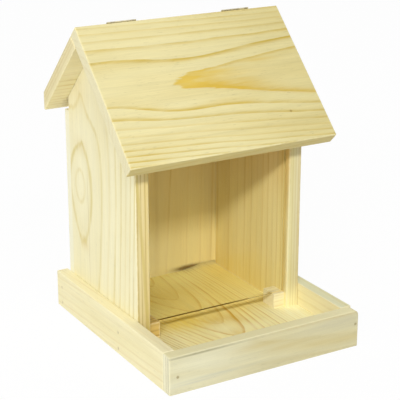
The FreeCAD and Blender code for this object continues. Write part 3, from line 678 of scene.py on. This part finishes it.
# worn metal: cloudy tarnish and fine scratches, in millimetres
metalWear = {
    "cloudNoise": ((0.35, 0.35, 0.35), 4.0, 0.6), "clouded": (0.35, 0.7),
    "scratchNoise": ((0.25, 7.0, 7.0), 2.0), "scratched": (0.6, 0.72),
    "rough": 0.28, "cloudRough": 0.2, "scratchRough": 0.1, "cloudLift": 0.4, "scratchLift": -0.5,
    "bump": 0.3, "bumpDepth": 0.00005,
}


def makeWornMetal():
    inputs = [
        ("Vector", "Vector", (0, 0, 0)), ("Amount", "Float", 0.5),
        ("Bright", "Color", (0.7, 0.6, 0.3, 1)), ("Dull", "Color", (0.3, 0.25, 0.12, 1)),
    ]
    outputs = [("Color", "Color"), ("Roughness", "Float"), ("Height", "Float")]
    tree, get, put = newGroup("wornMetal", inputs, outputs)
    cloud = noiseAt(tree, get["Vector"], *metalWear["cloudNoise"])
    cloud = smoothStep(tree, cloud, *metalWear["clouded"])
    scratch = noiseAt(tree, get["Vector"], *metalWear["scratchNoise"])
    scratch = smoothStep(tree, scratch, *metalWear["scratched"])
    dull = calc(tree, "MULTIPLY", cloud, get["Amount"])
    rough = calc(tree, "MULTIPLY_ADD", cloud, metalWear["cloudRough"], metalWear["rough"])
    height = calc(tree, "MULTIPLY", cloud, metalWear["cloudLift"])
    feed(tree, put["Color"], blendColor(tree, dull, get["Bright"], get["Dull"]))
    feed(tree, put["Roughness"], calc(tree, "MULTIPLY_ADD", scratch, metalWear["scratchRough"], rough))
    feed(tree, put["Height"], calc(tree, "MULTIPLY_ADD", scratch, metalWear["scratchLift"], height))
    return tree


wornMetal = makeWornMetal()


def metalMaterial(name, finish):
    material, tree, shader = newMaterial(name)
    coords = addNode(tree, "TexCoord")
    inPart = inMillimetres(tree, coords)
    worn = fillGroup(tree, wornMetal, {
        "Vector": inPart, "Amount": finish["amount"],
        "Bright": tone(*finish["bright"]), "Dull": tone(*finish["dull"]),
    })
    color = worn["Color"]
    # painted shade along the upper arris of a leaf's front edge
    if "paintedShadeTone" in finish:
        upwards = vectorCalc(tree, "DOT_PRODUCT", inPart, (0, slope, slope))
        squarely = vectorCalc(tree, "DOT_PRODUCT", coords.outputs["Normal"], (0, -slope, slope))
        outer = smoothStep(tree, upwards, *finish["paintedShadeBand"])
        onEdge = smoothStep(tree, squarely, *finish["paintedShadeFacing"])
        color = blendColor(tree, calc(tree, "MULTIPLY", outer, onEdge), color, tone(*finish["paintedShadeTone"]))
    shader.inputs["Metallic"].default_value = 1.0
    rough, height = worn["Roughness"], worn["Height"]
    fillShader(tree, shader, color, rough, height, metalWear["bump"], metalWear["bumpDepth"])
    return material


# hinges and screws; the roof leaves are greyer, with painted shade along the arris of their front edge
leafPoints = [v.co for v in nodes["left_hinge_roof_leaf"].data.vertices]
leafTop = max((point.y + point.z) * slope * mmPerMetre for point in leafPoints)
hingeFinish = {"bright": (236, 222, 162), "dull": (176, 156, 100), "amount": 0.5}
leafFinish = {
    "bright": (222, 212, 178), "dull": (150, 140, 114), "amount": 0.8,
    "paintedShadeTone": (84, 78, 70), "paintedShadeBand": (leafTop - 0.6, leafTop - 0.3), "paintedShadeFacing": (0.4, 0.8),
}
brass = metalMaterial("dulled_brass", hingeFinish)
for name in nodes:
    if "hinge" in name or name.endswith("_screws"):
        dress(name, brass)
shadeEdgedBrass = metalMaterial("shade_edged_brass", leafFinish)
for side in ("left", "right"):
    dress(side + "_hinge_roof_leaf", shadeEdgedBrass)

# nails; those of the left rim are brighter
nailFinish = {"bright": (198, 186, 144), "dull": (136, 126, 92), "amount": 0.7}
rimNailFinish = {"bright": (228, 217, 174), "dull": (196, 184, 142), "amount": 0.7}
nailSteel = metalMaterial("nail_steel", nailFinish)
for name in nodes:
    if name.endswith("_nails"):
        dress(name, nailSteel)
dress("left_rim_nails", metalMaterial("rim_nail_steel", rimNailFinish))
print("metal dressed")

# clear pane: a sheet with ground edges; light that enters just above the bottom edge is caught inside it
paneGlass = {
    "arris": 0.00025, "caught": 0.0024, "footEnd": 0.027,
    "ior": 1.18,  # low, so that the pane hardly mirrors the white room
    "smearNoise": ((0.02, 0.05, 0.03), 3.0), "smearRough": (0.4, 0.75, 0.0, 0.03),
    "clear": (253, 254, 253), "smeared": (250, 252, 250),
    "shade": (254, 254, 254), "footShade": (110, 74, 24),
}
groundEdge = {
    "frostNoise": ((0.4, 2.0, 2.0), 3.0), "frostRough": (0.2, 0.8, 0.6, 0.8),
    "bump": 0.3, "bumpDepth": 0.00005, "gloss": 0.1,
    # towards its ends the edge is painted paler: painted light
    "tone": (140, 108, 34), "frostTone": (172, 142, 62), "paintedLightTone": (244, 220, 140),
    "paintedLightRight": (5, 28), "paintedLightLeft": (-50, -54),  # where along the edge it grows pale, in millimetres
}


def makeClearGlass(name, shade):
    material, tree, shader = newMaterial(name)
    inPart = inMillimetres(tree, addNode(tree, "TexCoord"))
    smear = noiseAt(tree, inPart, *paneGlass["smearNoise"])
    color = blendColor(tree, smear, tone(*paneGlass["clear"]), tone(*paneGlass["smeared"]))
    feed(tree, shader.inputs["Base Color"], color)
    feed(tree, shader.inputs["Roughness"], smoothStep(tree, smear, *paneGlass["smearRough"]))
    shader.inputs["Transmission Weight"].default_value = 1.0
    shader.inputs["IOR"].default_value = paneGlass["ior"]
    # lamp light and light from the wood pass straight through, tinted by the shade
    through = addNode(tree, "BsdfTransparent", {"Color": tone(*shade)})
    path = addNode(tree, "LightPath").outputs
    byLight = calc(tree, "MAXIMUM", path["Is Shadow Ray"], path["Is Diffuse Ray"])
    mix = addNode(tree, "MixShader", {0: byLight, 1: shader.outputs[0], 2: through.outputs[0]})
    feed(tree, tree.nodes["Material Output"].inputs["Surface"], mix.outputs[0])
    return material


def makeGroundEdge():
    material, tree, shader = newMaterial("ground_glass_edge")
    inPart = inMillimetres(tree, addNode(tree, "TexCoord"))
    frost = noiseAt(tree, inPart, *groundEdge["frostNoise"])
    color = blendColor(tree, frost, tone(*groundEdge["tone"]), tone(*groundEdge["frostTone"]))
    # painted light: the edge grows paler towards its ends
    alongEdge = addNode(tree, "SeparateXYZ", {0: inPart}).outputs[0]
    paintedLightRight, paintedLightLeft = [smoothStep(tree, alongEdge, *groundEdge[key]) for key in ("paintedLightRight", "paintedLightLeft")]
    paintedLight = calc(tree, "MAXIMUM", paintedLightRight, paintedLightLeft)
    color = blendColor(tree, paintedLight, color, tone(*groundEdge["paintedLightTone"]))
    rough = smoothStep(tree, frost, *groundEdge["frostRough"])
    fillShader(tree, shader, color, rough, frost, groundEdge["bump"], groundEdge["bumpDepth"])
    shader.inputs["Specular IOR Level"].default_value = groundEdge["gloss"]
    return material


# how much of an axis a normal has when its face looks straight that way, or partly, as an arris does
straight, partly = 0.95, 0.5


def cutAcross(mesh, point, normal):
    everything = mesh.verts[:] + mesh.edges[:] + mesh.faces[:]
    bmesh.ops.bisect_plane(mesh, geom=everything, plane_co=point, plane_no=normal)


def roundOff(mesh, edges, offset, segments):
    bmesh.ops.bevel(
        mesh, geom=edges, offset=offset, affect="EDGES", segments=segments, profile=0.5, material=-1,
    )


def finishPiece(mesh, name, materials, body, replaced):
    data = bpy.data.meshes.new(name)
    mesh.to_mesh(data)
    mesh.free()
    for material in materials:
        data.materials.append(material)
    piece = bpy.data.objects.new(name, data)
    scene.collection.objects.link(piece)
    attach(piece, body)
    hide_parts(replaced)


def buildPane():
    low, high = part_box("front_pane")
    sheet = bmesh.new()
    bmesh.ops.create_cube(sheet, size=1.0)
    bmesh.ops.scale(sheet, vec=high - low, verts=sheet.verts)
    bmesh.ops.translate(sheet, vec=(low + high) / 2, verts=sheet.verts)
    roundOff(sheet, sheet.edges[:], paneGlass["arris"], 1)
    caughtTop, footEnd = low.z + paneGlass["caught"], paneGlass["footEnd"]
    grooved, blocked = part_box("right_wall")[0].x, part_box("right_stop_block")[0].x
    cutAcross(sheet, (0, 0, caughtTop), (0, 0, 1))
    for x in (-grooved, -blocked, footEnd, blocked, grooved):
        cutAcross(sheet, (x, 0, 0), (1, 0, 0))
    glass = makeClearGlass("clear_glass", paneGlass["shade"])
    edge = makeGroundEdge()
    foot = makeClearGlass("clear_glass_foot", paneGlass["footShade"])
    materials = [glass, edge, foot]
    for face in sheet.faces:
        centre = face.calc_center_median()
        bottom, clearFoot = face.normal.z < -partly, footEnd < centre.x < blocked
        inGroove = face.normal.y > straight and abs(centre.x) > grooved
        if bottom and not clearFoot or inGroove:
            face.material_index = materials.index(edge)
        elif abs(centre.x) < blocked and centre.z < caughtTop and not bottom:
            face.material_index = materials.index(foot)
    finishPiece(sheet, "glass_pane", materials, "house", "front_pane")


buildPane()
print("pane built")

# slotted countersunk screws in the hinge leaves, each turned its own way
hingeScrew = {
    "head": 0.0017, "shank": 0.0009, "sink": 0.0008, "length": 0.0062, "tip": 0.3, "sides": 32,
    "rim": 0.00008, "slot": 0.00028, "slotDepth": 0.00045, "slotTaper": 0.00002, "spacing": 0.013,
}


def makeScrew(turn):
    screw = bmesh.new()
    shank, head, sink = hingeScrew["shank"], hingeScrew["head"], hingeScrew["sink"]
    sides = hingeScrew["sides"]
    bmesh.ops.create_cone(screw, cap_ends=True, segments=sides, radius1=shank, radius2=head, depth=sink)
    bmesh.ops.translate(screw, vec=(0, 0, -sink / 2), verts=screw.verts)
    foot = [face for face in screw.faces if face.normal.z < -straight]
    grown = bmesh.ops.extrude_face_region(screw, geom=foot)["geom"]
    tip = [part for part in grown if isinstance(part, bmesh.types.BMVert)]
    bmesh.ops.scale(screw, vec=(hingeScrew["tip"], hingeScrew["tip"], 1), verts=tip)
    bmesh.ops.translate(screw, vec=(0, 0, -hingeScrew["length"]), verts=tip)
    bmesh.ops.delete(screw, geom=[face for face in foot if face.is_valid], context="FACES_ONLY")
    slack = 1e-7  # the top of the head lies at zero
    brim = [edge for edge in screw.edges if all(abs(vert.co.z) < slack for vert in edge.verts)]
    roundOff(screw, brim, hingeScrew["rim"], 2)
    for y in (-hingeScrew["slot"], hingeScrew["slot"]):
        cutAcross(screw, (0, y, 0), (0, 1, 0))
    top = [face for face in screw.faces if face.normal.z > straight]
    slot = [face for face in top if abs(face.calc_center_median().y) < hingeScrew["slot"]]
    taper, depth = hingeScrew["slotTaper"], hingeScrew["slotDepth"]
    bmesh.ops.inset_region(screw, faces=slot, thickness=taper, depth=-depth, use_even_offset=True)
    spin = Matrix.Rotation(math.radians(turn), 3, "Z")
    bmesh.ops.rotate(screw, cent=(0, 0, 0), matrix=spin, verts=screw.verts)
    bmesh.ops.rotate(screw, cent=(0, 0, 0), matrix=Matrix.Rotation(-pitch, 3, "X"), verts=screw.verts)
    return screw


def buildScrews(node, body, turns):
    low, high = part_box(node)
    drop = hingeScrew["head"] * slope
    ends = [low.x + hingeScrew["head"], high.x - hingeScrew["head"]]
    places = [ends[0], ends[0] + hingeScrew["spacing"], ends[1] - hingeScrew["spacing"], ends[1]]
    screws = bmesh.new()
    for x, turn in zip(places, turns):
        screw = makeScrew(turn)
        bmesh.ops.translate(screw, vec=(x, high.y - drop, high.z - drop), verts=screw.verts)
        bmesh.ops.recalc_face_normals(screw, faces=screw.faces)
        data = bpy.data.meshes.new("screw")
        screw.to_mesh(data)
        screw.free()
        screws.from_mesh(data)
        bpy.data.meshes.remove(data)
    finishPiece(screws, node.replace("_leaf_screws", "_slotted_screws"), [brass], body, node)


buildScrews("roof_leaf_screws", "house", (20, 74, 128, 47))
buildScrews("lid_leaf_screws", "lid", (63, 9, 101, 152))
print("screws built")

# floor and white surroundings
studio = {"ambient": 0.35, "floorSize": 12.0, "floorTone": 0.8, "whiteShare": 0.95}


# 1 where the camera sees a thing straight, in metal or through glass
def shownToCamera(tree):
    path = addNode(tree, "LightPath").outputs
    indirect = calc(tree, "MAXIMUM", path["Is Glossy Ray"], path["Is Transmission Ray"])
    return calc(tree, "MAXIMUM", path["Is Camera Ray"], indirect)


def makeFloor():
    mesh = bmesh.new()
    bmesh.ops.create_grid(mesh, x_segments=1, y_segments=1, size=studio["floorSize"] / 2)
    data = bpy.data.meshes.new("studio_floor")
    mesh.to_mesh(data)
    mesh.free()
    floor = bpy.data.objects.new("studio_floor", data)
    scene.collection.objects.link(floor)
    material, tree, shader = newMaterial("studio_white")
    tree.nodes.remove(shader)
    seen = shownToCamera(tree)
    level = calc(tree, "MULTIPLY_ADD", seen, 1.0 - studio["floorTone"], studio["floorTone"])
    grey = addNode(tree, "CombineColor", {0: level, 1: level, 2: level}).outputs[0]
    matte = addNode(tree, "BsdfDiffuse", {"Color": grey})
    white = addNode(tree, "Emission", {"Color": (1, 1, 1, 1), "Strength": 1.0})
    share = calc(tree, "MULTIPLY", seen, studio["whiteShare"])
    mix = addNode(tree, "MixShader", {0: share, 1: matte.outputs[0], 2: white.outputs[0]})
    feed(tree, tree.nodes["Material Output"].inputs["Surface"], mix.outputs[0])
    data.materials.append(material)


def makeSurroundings():
    world = bpy.data.worlds.new("studio")
    scene.world = world
    world.use_nodes = True
    tree = world.node_tree
    strength = calc(tree, "MULTIPLY_ADD", shownToCamera(tree), 1.0 - studio["ambient"], studio["ambient"])
    back = tree.nodes["Background"]
    back.inputs["Color"].default_value = (1, 1, 1, 1)
    feed(tree, back.inputs["Strength"], strength)


# from the object to a lamp or the camera: degrees to the left of the front, degrees above the level
def outward(bearing, height):
    turn, rise = math.radians(bearing), math.radians(height)
    return Vector((-math.sin(turn) * math.cos(rise), -math.cos(turn) * math.cos(rise), math.sin(rise)))


def lookBack(thing, way):
    thing.rotation_mode = "QUATERNION"
    thing.rotation_quaternion = (-way).to_track_quat("-Z", "Y")
    scene.collection.objects.link(thing)


# far lamps: width is the angle that the light fills as seen from the object
lampsAway = 2
lamps = {
    "left_fill": {"bearing": 88.0, "height": 20.0, "width": 60.0, "level": 0.2},
    "overhead": {"bearing": 10.0, "height": 70.0, "width": 60.0, "level": 0.03},
    "rear_fill": {"bearing": 215.0, "height": 30.0, "width": 60.0, "level": 0.12},
    "back_fill": {"bearing": 182.0, "height": 8.0, "width": 16.0, "level": 0.25},
}


def makeLamps():
    for name, lamp in lamps.items():
        way = outward(lamp["bearing"], lamp["height"])
        data = bpy.data.lights.new(name, "SUN")
        data.angle = math.radians(lamp["width"])
        data.energy = lamp["level"] * math.pi  # a white face square to the lamp then shows this level
        light = bpy.data.objects.new(name, data)
        light.location = way * lampsAway
        lookBack(light, way)


# a row of strip lights high in front of the house, most of it to the left: long and shallow,
# so that the level eave throws a clearer shadow than the upright walls
stripRow = {
    "forward": 2.0, "up": 1.566, "aim": 0.1, "deep": 0.28,
    "strips": [(-3.46, -1.2, 54.0), (-1.2, -0.2, 12.0), (-0.2, 0.9, 7.5)],  # left end, right end, watts
}


def makeStripRow():
    for number, (left, right, watts) in enumerate(stripRow["strips"]):
        data = bpy.data.lights.new("strip_%d" % number, "AREA")
        data.shape = "RECTANGLE"
        data.size, data.size_y = right - left, stripRow["deep"]
        data.energy = watts
        light = bpy.data.objects.new(data.name, data)
        light.location = ((left + right) / 2, -stripRow["forward"], stripRow["up"] + stripRow["aim"])
        light.rotation_euler = (math.atan2(stripRow["forward"], stripRow["up"]), 0, 0)
        light.visible_camera = False
        scene.collection.objects.link(light)


viewpoint = {
    "bearing": 30.398, "height": 18.878, "away": 0.887311, "target": (-0.00178, 0.0, 0.095198),
    "sensor": 36.0, "lens": 113.7877, "nearest": 0.01, "farthest": 50.0,
}


def makeCamera():
    way = outward(viewpoint["bearing"], viewpoint["height"])
    data = bpy.data.cameras.new("camera")
    data.sensor_width = viewpoint["sensor"]
    data.lens = viewpoint["lens"]
    data.clip_start, data.clip_end = viewpoint["nearest"], viewpoint["farthest"]
    camera = bpy.data.objects.new("camera", data)
    camera.location = Vector(viewpoint["target"]) + way * viewpoint["away"]
    lookBack(camera, way)
    scene.camera = camera


makeFloor()
makeSurroundings()
makeLamps()
makeStripRow()
makeCamera()
print("studio set")
